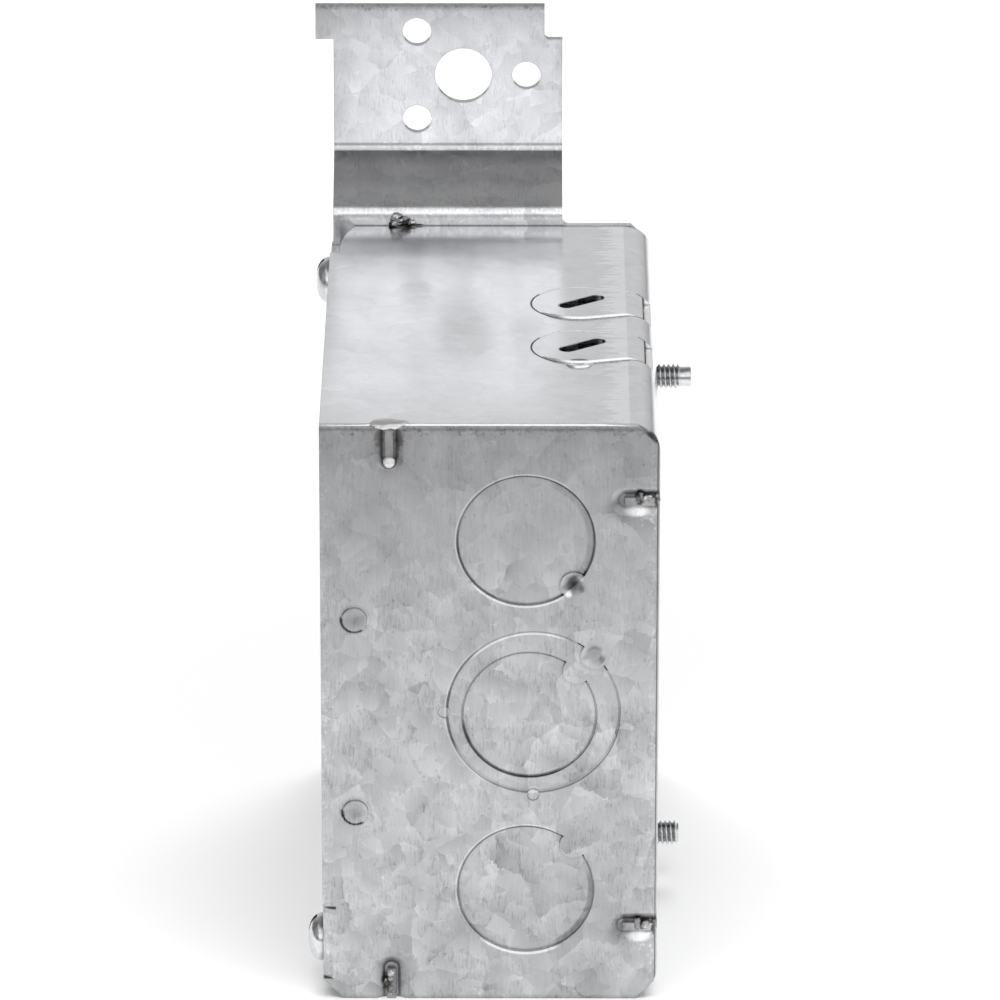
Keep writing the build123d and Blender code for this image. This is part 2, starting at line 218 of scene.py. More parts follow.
def galvanised(name, across, along, tone, rough, spangle=1.0, streaks=1.0, painted_seam_shade=0.65, calm=None,
               teeth=None, burns_and_painted_shade=(), painted_shades_and_dark_marks=(), painted_glints=(), flecks=(), painted_arcs=(), dark_edges_and_painted_shade=()):
    """Hot-dip galvanised sheet: crystals, drawn streaks, ticks, hairlines, weld burns, and painted shade and
    highlights.

    across and along are weights of x, y and z for the two directions in the sheet. tone and rough are
    its middle brightness and roughness, spangle and streaks how strong the crystals and streaks are,
    and the seam setting how dark the painted shade in seams and grooves is. The rest is in millimetres:
    calm has the two heights between which the crystals fade to a part of their strength.
    teeth has edge, spread, limit and gain of a brighter field that starts along x with a ragged edge.
    Burns (soot, which in places also paints the shade in a weld's trough), painted shades (with a few
    darker marks), painted glints (highlights) and flecks have centre, stretch, radius and depth or gain of
    each mark.
    Painted arcs have centre, radius, width, two angles and change of pressed edges that catch or lose the
    light.
    Dark boxes have two corners and depth: they darken sheared edges, for their bare colour and as painted
    shade in gaps and holes, and a plate under a slope as painted shade.
    """
    material, n = new_material(name)
    place = n.add("ShaderNodeTexCoord").outputs["Object"]
    x, y, z = n.split(place)

    def weighted(weights):
        total = None
        for part, weight in zip((x, y, z), weights):
            if weight:
                term = n.math("MULTIPLY", part, weight / MM)
                total = term if total is None else n.math("ADD", total, term)
        return total

    # A share of the direction through the sheet keeps its two faces from looking alike.
    u, v = weighted(across), weighted(along)
    side = n.math("MULTIPLY", weighted(tuple(1 - abs(part) for part in across)), 0.13)
    sheet = n.vector(u, v, side)

    def stretched(u_scale, v_scale):
        return n.vector(n.math("MULTIPLY", u, u_scale), n.math("MULTIPLY", v, v_scale), side)

    def spot(centre, stretch, core, radius, strength):
        return n.ramp(n.reach(place, centre, stretch), core * radius, radius, strength, 0.0)

    # Fields: large crystals with ragged edges, small slanted ones, lines along the sheet and grains.
    jag = n.noise(sheet, 1.1, detail=3.0, roughness=0.6)
    drift = n.noise(sheet, 0.1)
    patch_u = n.swing(jag, 0.9, n.swing(drift, 3.0, u))
    patch_v = n.swing(jag, 1.6, n.math("MULTIPLY", v, 0.85))
    patch, _, patch_tilt, _ = n.cells(n.vector(patch_u, patch_v, side), 0.15)
    leaf_u = n.math("MULTIPLY_ADD", v, 0.45, n.swing(jag, 0.8, u))
    leaf_v = n.math("MULTIPLY_ADD", u, -0.3, v)
    leaf, leaf_hatch, leaf_tilt, _ = n.cells(n.vector(leaf_u, leaf_v, side), 0.3, "MANHATTAN")
    streak = n.noise(stretched(3.4, 0.14), 1.0, detail=5.0, roughness=0.65)
    tick = n.noise(stretched(3.0, 0.5), 1.0, detail=3.0, roughness=0.7)
    hair_field = n.noise(stretched(1.0, 0.6), 0.32, detail=1.0)
    off_hair = n.math("ABSOLUTE", n.math("SUBTRACT", hair_field, 0.5))
    hair = n.ramp(off_hair, 0.003, 0.008, 1.0, 0.0)
    cluster = n.ramp(n.noise(sheet, 0.16), 0.45, 0.62)
    grain = n.noise(place, 3200.0)
    broad = n.noise(place, 24.0)
    dots = n.noise(place, 1500.0, detail=3.0, roughness=0.65)
    speck = n.ramp(n.cells(sheet, 0.55)[3], 0.10, 0.16, 1.0, 0.0)
    speck = n.math("MULTIPLY", speck, n.ramp(drift, 0.45, 0.6))

    # Brightness: the crystals round zero first, then everything on the sheet's tone.
    pattern = n.math("MULTIPLY", n.ramp(patch, 0.72, 0.76), -0.05)
    pattern = n.swing(patch, 0.07, pattern)
    pattern = n.math("MULTIPLY_ADD", patch_tilt, 0.30, pattern)
    pattern = n.swing(leaf, 0.05, pattern)
    pattern = n.math("MULTIPLY_ADD", leaf_tilt, 0.22, pattern)
    hatched = n.math("MAXIMUM", n.ramp(leaf_hatch, 0.55, 0.65), n.math("MULTIPLY", cluster, 0.7))
    ticks = n.math("MULTIPLY", n.ramp(tick, 0.52, 0.62), hatched)
    pattern = n.math("MULTIPLY_ADD", ticks, -0.11, pattern)
    pattern = n.math("MULTIPLY_ADD", n.math("MULTIPLY", hair, cluster), 0.10, pattern)
    if calm:
        pattern = n.math("MULTIPLY", pattern, n.ramp(z, calm[0] * MM, calm[1] * MM, 1.0, 0.65))
    value = n.math("MULTIPLY_ADD", pattern, spangle, tone)
    value = n.swing(streak, 0.16 * streaks, value)
    value = n.swing(grain, 0.06, value)
    value = n.swing(broad, 0.06, value)
    value = n.math("MULTIPLY_ADD", speck, -0.10, value)

    if teeth:
        edge, spread, limit, gain = teeth
        comb_place = n.vector(n.math("MULTIPLY", x, 130.0), n.math("MULTIPLY", y, 900.0), z)
        comb = n.noise(comb_place, 1.0, detail=3.0, roughness=0.7)
        field = n.ramp(n.swing(comb, spread * MM, x), edge * MM, (edge + 0.8) * MM)
        field = n.math("MULTIPLY", field, n.ramp(x, limit * MM, (limit + 0.3) * MM, 1.0, 0.0))
        value = n.math("MULTIPLY_ADD", field, gain, value)

    # Marks in set places: painted shade in seams and grooves, dark boxes, painted highlights and shade along
    # arcs, painted glints, flecks, painted shades, and burns.
    value = n.math("MULTIPLY", value, n.hollow_shade(0.9 * MM, 0.35, 0.92, 1.0 - painted_seam_shade))
    for low_corner, high_corner, depth in dark_edges_and_painted_shade:
        inside = n.box(place, low_corner, high_corner)
        value = n.math("MULTIPLY", value, n.math("MULTIPLY_ADD", inside, -depth, 1.0))
    for centre, radius, width, first, last, change in painted_arcs:
        line = n.arc(x, z, centre, radius, width, first, last)
        value = n.math("MULTIPLY_ADD", line, change, value)
    for centre, stretch, radius, gain in painted_glints:
        value = n.math("MULTIPLY_ADD", spot(centre, stretch, 0.35, radius, 1.0), gain, value)
    for centre, stretch, radius, gain in flecks:
        near = spot(centre, stretch, 0.0, radius, 0.1)
        points = n.ramp(n.math("ADD", dots, near), 0.62, 0.70)
        points = n.math("MULTIPLY", points, n.ramp(near, 0.0, 0.03))
        value = n.math("MULTIPLY_ADD", points, gain, value)
    value = n.math("MAXIMUM", value, 0.02)
    for centre, stretch, radius, depth in painted_shades_and_dark_marks:
        mask = spot(centre, stretch, 0.0, radius, depth)
        value = n.math("MULTIPLY", value, n.math("SUBTRACT", 1.0, mask))
    colour = n.vector(n.math("MULTIPLY", value, 0.992), value, n.math("MULTIPLY", value, 1.022))

    roughness = n.swing(leaf, 0.08 * spangle, rough)
    roughness = n.swing(streak, 0.08, roughness)
    soot = n.mix(dots, (0.012, 0.011, 0.010, 1), (0.11, 0.085, 0.065, 1))
    # Soot-coloured burns; some of them also paint the shade in a weld's trough.
    for centre, stretch, radius, depth in burns_and_painted_shade:
        ragged = n.swing(dots, radius * 1.5, n.reach(place, centre, stretch))
        mask = n.ramp(ragged, radius * 0.4, radius, depth, 0.0)
        colour = n.mix(mask, colour, soot)
        roughness = n.math("MULTIPLY_ADD", mask, 0.25, roughness)

    rounded = n.put(n.add("ShaderNodeBevel", samples=2), {"Radius": 0.3 * MM}).outputs[0]
    height = n.math("MULTIPLY_ADD", streak, 0.5, n.math("MULTIPLY", grain, 0.25))
    fine = n.bump(height, 0.25, 0.02 * MM, rounded)
    n.metal(colour, roughness, n.bump(broad, 0.25, 0.3 * MM, fine))
    return material


def plated(name, colour, rough, groove_shade=0.12):
    """Bright zinc plate with fine turning marks and painted shade in its grooves."""
    material, n = new_material(name)
    place = n.add("ShaderNodeTexCoord").outputs["Object"]
    mottle = n.noise(place, 1400.0, detail=3.0)
    shade = n.ramp(mottle, 0.3, 0.7, 0.85, 1.05, smooth=False)
    shade = n.math("MULTIPLY", shade, n.hollow_shade(0.7 * MM, 0.3, 0.9, groove_shade))
    tint = n.vector(*(n.math("MULTIPLY", shade, part) for part in colour))
    roughness = n.ramp(mottle, 0.3, 0.7, rough - 0.06, rough + 0.08, smooth=False)
    n.metal(tint, roughness, n.bump(mottle, 0.2, 0.03 * MM))
    return material


def melted(name, light, dark, rough):
    """Weld metal: light where it ran, dark where it burnt, with painted shade in its crevices."""
    material, n = new_material(name)
    place = n.add("ShaderNodeTexCoord").outputs["Object"]
    mottle = n.ramp(n.noise(place, 420.0, detail=3.0, roughness=0.6), 0.42, 0.58)
    colour = n.mix(mottle, (dark, dark * 0.98, dark * 0.96, 1), (light, light, light, 1))
    # painted shade in the weld metal's crevices
    crevice_shade = n.add("ShaderNodeAmbientOcclusion", samples=1)
    n.put(crevice_shade, {"Distance": 0.4 * MM, "Color": colour})
    normal = n.bump(n.noise(place, 1300.0, detail=3.0), 0.35, 0.1 * MM)
    n.metal(crevice_shade.outputs["Color"], rough, normal)
    return material


# Marks on the near plate. A stretch of 0 makes a mark run on without end along that axis.
plate_burns_and_painted_shade = [
    # at the two welds of the right edge
    ((24.5, near_y, 89.3), (1.1, 0.5, 0.7), 1.1, 0.95),
    ((27.2, near_y, 88.6), (1.6, 0.5, 0.6), 1.0, 0.8),
    ((25.4, near_y, 13.6), (0.9, 0.5, 1.0), 1.2, 0.95),
    ((27.2, near_y, 12.6), (1.6, 0.5, 0.6), 1.0, 0.8),
    # at the left welds: a burn below, and above soot-coloured marks on both sides of the bar that also paint
    # the shade in its trough
    ((-17.2, near_y, 2.8), (1.2, 0.5, 0.5), 1.2, 0.9),
    ((-18.0, near_y, 99.6), (1, 0.5, 0.6), 1.2, 0.5),
    ((-14.8, near_y, 99.4), (1, 0.5, 0.5), 1.1, 0.6),
]
plate_painted_shades_and_dark_marks = [
    # at the ties of the upper and the middle knockout
    ((13.7, near_y, 74.0), (1, 0.5, 1), 2.3, 0.9),
    ((17.0, near_y, 61.6), (1, 0.5, 1), 2.4, 0.3),
    # painted shade in the pressed weld marks, left and right
    ((left_weld_x, near_y, 97.5), (1, 0.3, 0.55), 3.6, 0.4),
    ((left_weld_x, near_y, 4.2), (0.8, 0.3, 0.6), 4.2, 0.35),
    ((left_weld_x, near_y + 0.4, 3.2), (1, 0.5, 0.5), 1.9, 0.3),
    ((21.6, near_y, 87.4), (0.7, 0.3, 0.8), 2.8, 0.42),
    ((21.9, near_y, 12.0), (0.7, 0.3, 0.8), 2.8, 0.42),
    # darker just under the top edge, and painted shade over the upper part and at the lower right
    ((0, near_y, 101.2), (0, 1, 1), 0.5, 0.35),
    ((0, near_y, 104.0), (0, 0.3, 1), 40.0, 0.11),
    ((18, near_y, 22), (0.7, 0.3, 0.7), 18.0, 0.14),
] + [((button_x, near_y, height), (1, 0.3, 1), 2.9, 0.42) for height in button_heights]
plate_painted_glints = [
    # painted highlights on the bars of the right welds
    ((23.9, near_y + 0.4, 86.9), (0.45, 0.4, 1), 1.2, 0.55),
    ((24.6, near_y + 0.4, 11.2), (0.45, 0.4, 1), 1.2, 0.55),
    # painted highlights on both sides of the upper knockout's tie
    ((14.7, near_y, 74.9), (1, 0.5, 1), 0.8, 0.4),
    ((12.9, near_y, 72.4), (1, 0.5, 1), 0.8, 0.6),
    # painted highlights on the top edge and above the left bead
    ((0, near_y + 0.75, wall_top), (0, 1, 1), 0.95, 0.35),
    ((left_weld_x, near_y, 98.4), (1, 0.3, 0.3), 1.1, 0.22),
    # painted light: wide paler fields at the upper right and along the bottom
    ((16, near_y, 74), (0.7, 0.3, 0.7), 24.0, 0.04),
    ((-4, near_y, 5), (0.3, 0.3, 1), 9.0, 0.04),
]
plate_flecks = [
    # along the left, top and right edges
    ((-27.6, near_y, 0), (1, 0.3, 0), 1.6, 0.1),
    ((0, near_y, 101.0), (0, 0.3, 1), 1.6, -0.16),
    ((26.8, near_y, 0), (1, 0.3, 0), 1.2, 0.09),
    # under the right welds
    ((25.5, near_y, 86.0), (0.6, 0.3, 0.6), 2.0, 0.15),
    ((25.5, near_y, 10.5), (0.6, 0.3, 0.6), 2.0, 0.15),
]
# Painted highlights and painted shade along the pressed edges of the knockouts.
plate_painted_arcs = [
    (upper_ko, half_inch + 0.45, 0.18, 60, 200, 0.22),
    (upper_ko, half_inch + 0.5, 0.3, 230, 295, 0.35),
    (upper_ko, half_inch + 0.1, 0.25, -60, 60, -0.2),
    (upper_ko, half_inch + 0.1, 0.25, 180, 240, -0.2),
    (upper_ko, half_inch - 0.5, 0.8, -50, 60, -0.14),
    (middle_ko, large - 0.25, 0.3, 75, 130, 0.32),
    (middle_ko, large + 0.4, 0.25, 130, 230, 0.12),
    (middle_ko, large + 0.1, 0.3, 140, 200, -0.2),
    (middle_ko, large + 0.15, 0.3, 215, 330, 0.15),
    (inner_ko, small + 0.1, 0.4, 195, 290, -0.25),
    (lower_ko, half_inch + 0.5, 0.4, 240, 290, 0.42),
    (lower_ko, half_inch - 0.4, 0.5, -55, 10, -0.2),
    (lower_ko, half_inch + 0.45, 0.18, 70, 190, 0.18),
]
# A painted shadow on the lower left of each button and a painted highlight on its upper right.
for height in button_heights:
    plate_painted_arcs.append(((button_x, height), 2.15, 0.42, 175, 300, -0.45))
    plate_painted_arcs.append(((button_x, height), 2.25, 0.2, -20, 110, 0.2))
# The sheared walls of the knockouts' gaps, darker as bare steel and as painted shade in the gaps.
plate_gap_edges_and_painted_shade = [((-10.5, -50.1, 5), (21.9, -49.2, 97.5), 0.4)]

# Marks on the bracket: on its slope, at the bend above it and along its top edge; most are painted shade and
# painted highlights.
bracket_painted_shades_and_dark_edge = [
    # painted shade at the top of the slope
    ((0, 60.0, 111.0), (0, 1, 1), 3.2, 0.35),
    # darker band along the top edge
    ((0, 60.3, 138.2), (0, 0.3, 1), 1.3, 0.4),
    # painted shade, darker towards the top
    ((0, 60.3, 140.0), (0, 0.3, 1), 27.0, 0.12),
    # painted shade in a thin line above the crease
    ((0, 60.32, 112.8), (0, 1, 1), 0.4, 0.5),
    # painted shade on the strip above the far seam
    ((0, far_seam_y, 102.3), (0, 1, 1), 1.8, 0.3),
]
bracket_painted_glints = [
    # painted highlights low on the slope and along the crease
    ((0, 53.0, 105.0), (0, 1, 1), 3.6, 0.16),
    ((0, 60.3, 112.1), (0, 1, 1), 0.45, 0.2),
]
bracket_flecks = [
    ((0, 51.6, 104.0), (0, 1, 1), 4.5, 0.25),
    ((0, 60.2, 112.2), (0, 1, 1), 1.6, 0.2),
    ((0, 60.3, 137.8), (0, 0.3, 1), 1.2, -0.3),
]
bracket_burns = [((-15.6, far_seam_y, 102.2), (0.5, 0.6, 1), 1.3, 0.85)]
bracket_edges_and_painted_shade = [
    # painted shade on the walls of the holes, which are also darker as bare sheared steel, and on the far
    # plate under the slope
    ((-34, 60.45, 112.5), (34, 61.8, 139), 0.45),
    ((-40, 40, -10), (40, 56, 103.5), 0.3),
]

# Marks on the wrapper: painted shade along two seams, a painted reflection of the slope's shade, painted
# highlights on the pry dish, the near top and the tongue ends, a weld burn, dark spots in a corner, and slot
# walls darker as bare edges and painted shade.
wrapper_painted_shades = [
    # painted shade along the right seam and the far seam, and a painted reflection of the slope's shade on
    # the top
    ((27.33, -49.2, 0), (1, 1, 0), 0.42, 0.8),
    ((0, 49.4, wall_top), (0, 1, 1), 1.2, 0.8),
    ((-12, 39.5, wall_top), (0.4, 1, 1), 9.5, 0.42),
]
wrapper_painted_glints = [
    # painted highlights on the pry dish, the near part of the top and the tongue ends
    ((dish_x, dish_y, 101.4), (1, 1, 0.5), 2.6, 0.18),
    ((-8, -36, wall_top), (0.5, 0.8, 1), 18.0, 0.1),
] + [((27.0, y, 99.6), (1, 0.22, 0.5), 1.5, 0.3) for y in tongue_ys.values()]
wrapper_burns_and_dark_spots = [
    # a weld burn at the far top, and ragged dark spots in the corner at the plate's top right
    ((-14.6, 48.4, wall_top), (0.35, 1, 1), 0.8, 0.9),
    ((26.2, -49.3, 99.3), (0.7, 0.7, 0.7), 1.1, 0.8),
]
slot_shift, slot_half = 1.0, 4.6
# the slots' sheared walls, darker as bare steel and as painted shade in the slots
slot_wall_edges_and_painted_shade = []
for tongue_y in tongue_ys.values():
    slot_y = tongue_y + slot_shift
    slot_wall_edges_and_painted_shade.append(((14.5, slot_y - slot_half, 99.9), (22.5, slot_y + slot_half, 101.57), 0.78))

plate_steel = galvanised(
    "plate_galvanised", (1, 0, 0), (0, 0.7, 1), tone=0.54, rough=0.36, calm=(58, 84),
    burns_and_painted_shade=plate_burns_and_painted_shade, painted_shades_and_dark_marks=plate_painted_shades_and_dark_marks, painted_glints=plate_painted_glints, flecks=plate_flecks,
    painted_arcs=plate_painted_arcs, dark_edges_and_painted_shade=plate_gap_edges_and_painted_shade)
bracket_steel = galvanised(
    "bracket_galvanised", (1, 0, 0), (0, 0.7, 1), tone=0.84, rough=0.18, painted_seam_shade=0.3,
    burns_and_painted_shade=bracket_burns, painted_shades_and_dark_marks=bracket_painted_shades_and_dark_edge, painted_glints=bracket_painted_glints, flecks=bracket_flecks,
    dark_edges_and_painted_shade=bracket_edges_and_painted_shade)
wrapper_steel = galvanised(
    "wrapper_galvanised", (0, 1, 0), (1, 0, -1), tone=0.83, rough=0.19, spangle=0.4, streaks=0.7,
    teeth=(19.5, 16, 22.7, 0.15), burns_and_painted_shade=wrapper_burns_and_dark_spots, painted_shades_and_dark_marks=wrapper_painted_shades, painted_glints=wrapper_painted_glints,
    dark_edges_and_painted_shade=slot_wall_edges_and_painted_shade)
clamp_steel = galvanised("clamp_galvanised", (0, 1, 0), (1, 0, -1), tone=0.28, rough=0.36)
screw_zinc = plated("screw_zinc_plate", (0.74, 0.75, 0.76), 0.13)
edge_zinc = plated("sheared_edge_zinc", (0.92, 0.92, 0.93), 0.25, groove_shade=0.85)
# painted shade: a near-black finish for the walls of the screw slots
slot_painted_shade = plated("screw_slot_painted_shade", (0.07, 0.07, 0.07), 0.5)
weld_soft = melted("weld_soft", light=0.95, dark=0.9, rough=0.55)
weld_grey = melted("weld_grey", light=0.7, dark=0.3, rough=0.3)
weld_burnt = melted("weld_burnt", light=0.34, dark=0.05, rough=0.35)
finishes = {"wrapper": wrapper_steel, "plain_side_plate": plate_steel, "bracket_side_plate": bracket_steel,
            "upper_cable_clamp": clamp_steel, "lower_cable_clamp": clamp_steel}
for name, material in finishes.items():
    paint(nodes[name], material)


def piece(name, bm, material, smooth_angle=35):
    """Turns a bmesh into a piece of the object."""
    bmesh.ops.recalc_face_normals(bm, faces=bm.faces)
    mesh = bpy.data.meshes.new(name)
    bm.to_mesh(mesh)
    bm.free()
    mesh.set_sharp_from_angle(angle=math.radians(smooth_angle))
    for face in mesh.polygons:
        face.use_smooth = True
    obj = bpy.data.objects.new(name, mesh)
    bpy.context.collection.objects.link(obj)
    mesh.materials.append(material)
    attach(obj, "root")
    return obj


def skin(bm, rows):
    """Joins rows of corners into a tube, closed at both ends."""
    count = len(rows[0])
    for first, second in zip(rows, rows[1:]):
        for k in range(count):
            after = (k + 1) % count
            bm.faces.new((first[k], first[after], second[after], second[k]))
    bm.faces.new(rows[0])
    bm.faces.new(reversed(rows[-1]))


def turned(bm, rings, spokes):
    """Makes a tube from rings, each of which is a function of the angle."""
    angles = [2 * math.pi * k / spokes for k in range(spokes)]
    skin(bm, [[bm.verts.new(ring(angle)) for angle in angles] for ring in rings])


def cut_slot(head, centre):
    """Cuts a screwdriver slot in a head, its walls given a near-black finish as painted shade."""
    width, depth, length = 1.25 * MM, 3.0 * MM, 12 * MM
    cutter = bmesh.new()
    bmesh.ops.create_cube(cutter, size=1.0)
    bmesh.ops.scale(cutter, vec=(depth, width, length), verts=cutter.verts)
    bmesh.ops.translate(cutter, vec=centre, verts=cutter.verts)
    cutter_mesh = bpy.data.meshes.new("cutter")
    cutter.to_mesh(cutter_mesh)
    cutter.free()
    for holder in (head.data, cutter_mesh):
        if not holder.materials:
            holder.materials.append(screw_zinc)
        holder.materials.append(slot_painted_shade)
    for face in cutter_mesh.polygons:
        face.material_index = 1
    tool = bpy.data.objects.new("cutter", cutter_mesh)
    bpy.context.collection.objects.link(tool)
    cut = head.modifiers.new("slot", "BOOLEAN")
    cut.operation, cut.object, cut.solver = "DIFFERENCE", tool, "EXACT"
    bpy.context.view_layer.update()
    made = bpy.data.meshes.new_from_object(head.evaluated_get(bpy.context.evaluated_depsgraph_get()))
    head.modifiers.clear()
    head.data = made
    made.set_sharp_from_angle(angle=math.radians(40))
    bpy.data.objects.remove(tool)


def screw(node, dog_length):
    """Slotted round head screw along +X with a helical thread, in place of a plain CAD screw."""
    low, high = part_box(node)
    centre_y, centre_z = (low.y + high.y) / 2, (low.z + high.z) / 2
    head_height, head_radius = 2.6 * MM, (high.y - low.y) / 2
    band, dome_height, dome_steps = 0.35 * MM, 2.25 * MM, 12
    crest, root, pitch, steps_per_turn = 2.08 * MM, 1.6 * MM, 0.794 * MM, 10
    seat, thread_end = low.x + head_height, high.x - dog_length

    def around(x, radius):
        return lambda angle: (x, centre_y + radius * math.cos(angle), centre_z + radius * math.sin(angle))

    def threaded(x):
        lead = min(1.0, max(0.0, (thread_end - x) / (0.7 * pitch)))

        def ring(angle):
            phase = (x / pitch - angle / (2 * math.pi)) % 1.0
            rise = max(0.0, min(1.0, (0.5 - abs(phase - 0.5)) * 2.5 - 0.1))
            return around(x, root + (crest - root) * rise * lead)(angle)
        return ring

    head = bmesh.new()
    rings = []
    for k in range(dome_steps + 1):
        swing = math.pi / 2 * (1 - k / dome_steps) * 0.93
        x = seat - band - dome_height * math.sin(swing)
        rings.append(around(x, head_radius * math.cos(swing) ** 0.85))
    rings.append(around(seat - 0.1 * MM, head_radius))
    rings.append(around(seat, head_radius - 0.15 * MM))
    turned(head, rings, 64)
    head_piece = piece(node + "_head", head, screw_zinc, 40)
    cut_slot(head_piece, (low.x - 0.05 * MM, centre_y, centre_z))

    shank = bmesh.new()
    steps = int((thread_end - seat) / (pitch / steps_per_turn))
    rings = [threaded(seat + (thread_end - seat) * k / steps) for k in range(steps + 1)]
    if dog_length:
        rings.append(around(high.x - 0.15 * MM, 1.65 * MM))
        rings.append(around(high.x, 1.5 * MM))
    turned(shank, rings, 40)
    shank_piece = piece(node + "_shank", shank, screw_zinc, 50)
    for obj in (head_piece, shank_piece):
        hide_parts(node)


screw("upper_cover_screw", 0.0)
screw("lower_cover_screw", 0.0)
screw("upper_clamp_screw", 1.7 * MM)
screw("lower_clamp_screw", 0.0)


def lumps(name, blobs, material, rough=0.25, grain=1.3):
    """Weld metal: rounded blobs half sunk in the sheet, roughened by noise.

    A blob is a centre and three radii in millimetres.
    """
    bm = bmesh.new()
    for centre, radii in blobs:
        made = bmesh.ops.create_icosphere(bm, subdivisions=4, radius=1.0)
        for vert in made["verts"]:
            spot = Vector(vert.co[k] * radii[k] for k in range(3)) + Vector(centre)
            coarse, fine = noise.noise(spot * grain), noise.noise(spot * grain * 2.7)
            swell = 1.0 + rough * coarse + 0.4 * rough * fine
            vert.co = (Vector(vert.co[k] * radii[k] * swell for k in range(3)) + Vector(centre)) * MM
    piece(name, bm, material, 60)


weld_y = near_y + 0.05
lumps("weld_bead_near_top", [((left_weld_x, weld_y, 95.5), (1.0, 0.75, 1.05))], weld_soft, 0.08)
lumps("weld_ridge_near_top", [((left_weld_x, -49.5, wall_top), (3.3, 1.5, 0.8))], weld_soft, 0.15, 0.9)
bottom_run = [
    ((-16.55, weld_y, 4.6), (0.55, 0.3, 0.7)),
    ((-16.6, weld_y, 3.5), (0.4, 0.3, 0.35)),
    ((-16.3, weld_y, 2.6), (0.3, 0.3, 0.45)),
    ((-16.5, weld_y, 1.8), (0.45, 0.35, 0.5)),
    ((-16.1, weld_y, 1.2), (0.35, 0.35, 0.5)),
    ((-16.4, weld_y, 0.7), (0.4, 0.35, 0.45)),
]
lumps("weld_run_bottom", bottom_run, weld_grey, 0.5, 2.0)
lumps("weld_blot_bottom", [((-17.3, -50.6, 2.9), (0.4, 0.25, 0.7))], weld_burnt, 0.3)
for end_name, height in (("top", 89.2), ("bottom", 13.4)):
    blot = [((24.5, -50.65, height + 0.1), (0.6, 0.4, 1.0))]
    run = [((25.8, -50.55, height - 0.1), (0.85, 0.45, 0.7)), ((27.3, -50.2, height - 0.2), (0.5, 0.5, 1.0))]
    lumps("weld_blot_right_" + end_name, blot, weld_burnt, 0.3)
    lumps("weld_run_right_" + end_name, run, weld_grey, 0.25)
random.seed(SPATTER_SEED)
spatter = []
for _ in range(9):
    centre = (random.uniform(-17.2, -14.0), far_seam_y, random.uniform(102.2, 104.0))
    spatter.append((centre, [random.uniform(0.4, 0.9) for _ in range(3)]))
lumps("weld_run_far_top", spatter, weld_grey, 0.45, 1.3)
far_blots = [
    ((-17.1, 48.8, 101.9), (0.7, 0.4, 0.35)),
    ((-15.6, 48.4, 101.65), (1.2, 0.6, 0.2)),
    ((-13.9, 48.3, 101.6), (0.9, 0.7, 0.25)),
    ((-14.3, 48.7, 102.3), (0.3, 0.4, 0.5)),
    ((-12.6, 48.6, 101.6), (0.9, 0.25, 0.12)),
]
lumps("weld_blot_far_top", far_blots, weld_burnt, 0.3)


def lip(name, points, height, width):
    """Sheared edge that stands a little proud of the sheet under it, along points in millimetres."""
    bm = bmesh.new()
    rows = []
    foot, count = -0.1, len(points)
    for k, point in enumerate(points):
        before, after = points[max(0, k - 1)], points[min(count - 1, k + 1)]
        side = Vector((before[1] - after[1], after[0] - before[0], 0)).normalized()
        rise = height * min(1.0, 5.0 * k / count, 12.0 * (count - 1 - k) / count)
        section = ((0, foot), (0, 0), (0.55 * rise, rise), (width, 0.2 * rise), (width, foot))
        rows.append([bm.verts.new((Vector((point[0], point[1], point[2] + up)) + side * share) * MM)
                     for share, up in section])
    skin(bm, rows)
    piece(name, bm, edge_zinc, 30)


def shear_ring(name, centre, radius, tie, depth):
    """Burnished step between a slug and the sheet round it, all round but at the tie.

    tie is the tie's angle in degrees, and depth how far the step lies behind the plate's face.
    """
    bm = bmesh.new()
    rows = []
    inner, outer, back = radius - 0.02, radius + 0.32, depth + 0.3
    half_tie, steps = 14, 120
    for k in range(steps + 1):
        angle = math.radians(tie + half_tie + (360 - 2 * half_tie) * k / steps)
        row = []
        for r, y in ((inner, depth), (outer, depth), (outer, back), (inner, back)):
            x, z = centre[0] + r * math.cos(angle), centre[1] + r * math.sin(angle)
            row.append(bm.verts.new(Vector((x, near_y + y, z)) * MM))
        rows.append(row)
    skin(bm, rows)
    piece(name, bm, plate_steel, 30)


shear_ring("shear_ring_upper", upper_ko, half_inch, -45, 0.4)
shear_ring("shear_ring_lower", lower_ko, half_inch, 45, 0.4)
shear_ring("shear_ring_middle", middle_ko, large, 45, 0.32)
shear_ring("shear_ring_inner", inner_ko, small, 45, 0.62)


def tongue_edge(tongue_y):
    """Near edge of a pry-out tongue: part of its round, then its straight side, down the bend."""
    lean = math.atan2(tongue_radius - end_half, tongue_end - tongue_x)
    start, end = math.radians(215), math.radians(270) + lean
    round_steps, straight_steps = 24, 12
    edge = []
    for k in range(round_steps + 1):
        angle = start + (end - start) * k / round_steps
        x, y = tongue_x + tongue_radius * math.cos(angle), tongue_y + tongue_radius * math.sin(angle)
        edge.append((x, y, wall_top))
    first, last = Vector(edge[-1]), Vector((24.6, tongue_y - end_half - 0.25, wall_top))
    for k in range(1, straight_steps + 1):
        spot = first.lerp(last, k / straight_steps)
        past = max(0.0, spot.x - bend_start)
        drop = bend_radius - math.sqrt(bend_radius ** 2 - past ** 2)
        edge.append((spot.x, spot.y, wall_top - drop))
    return edge


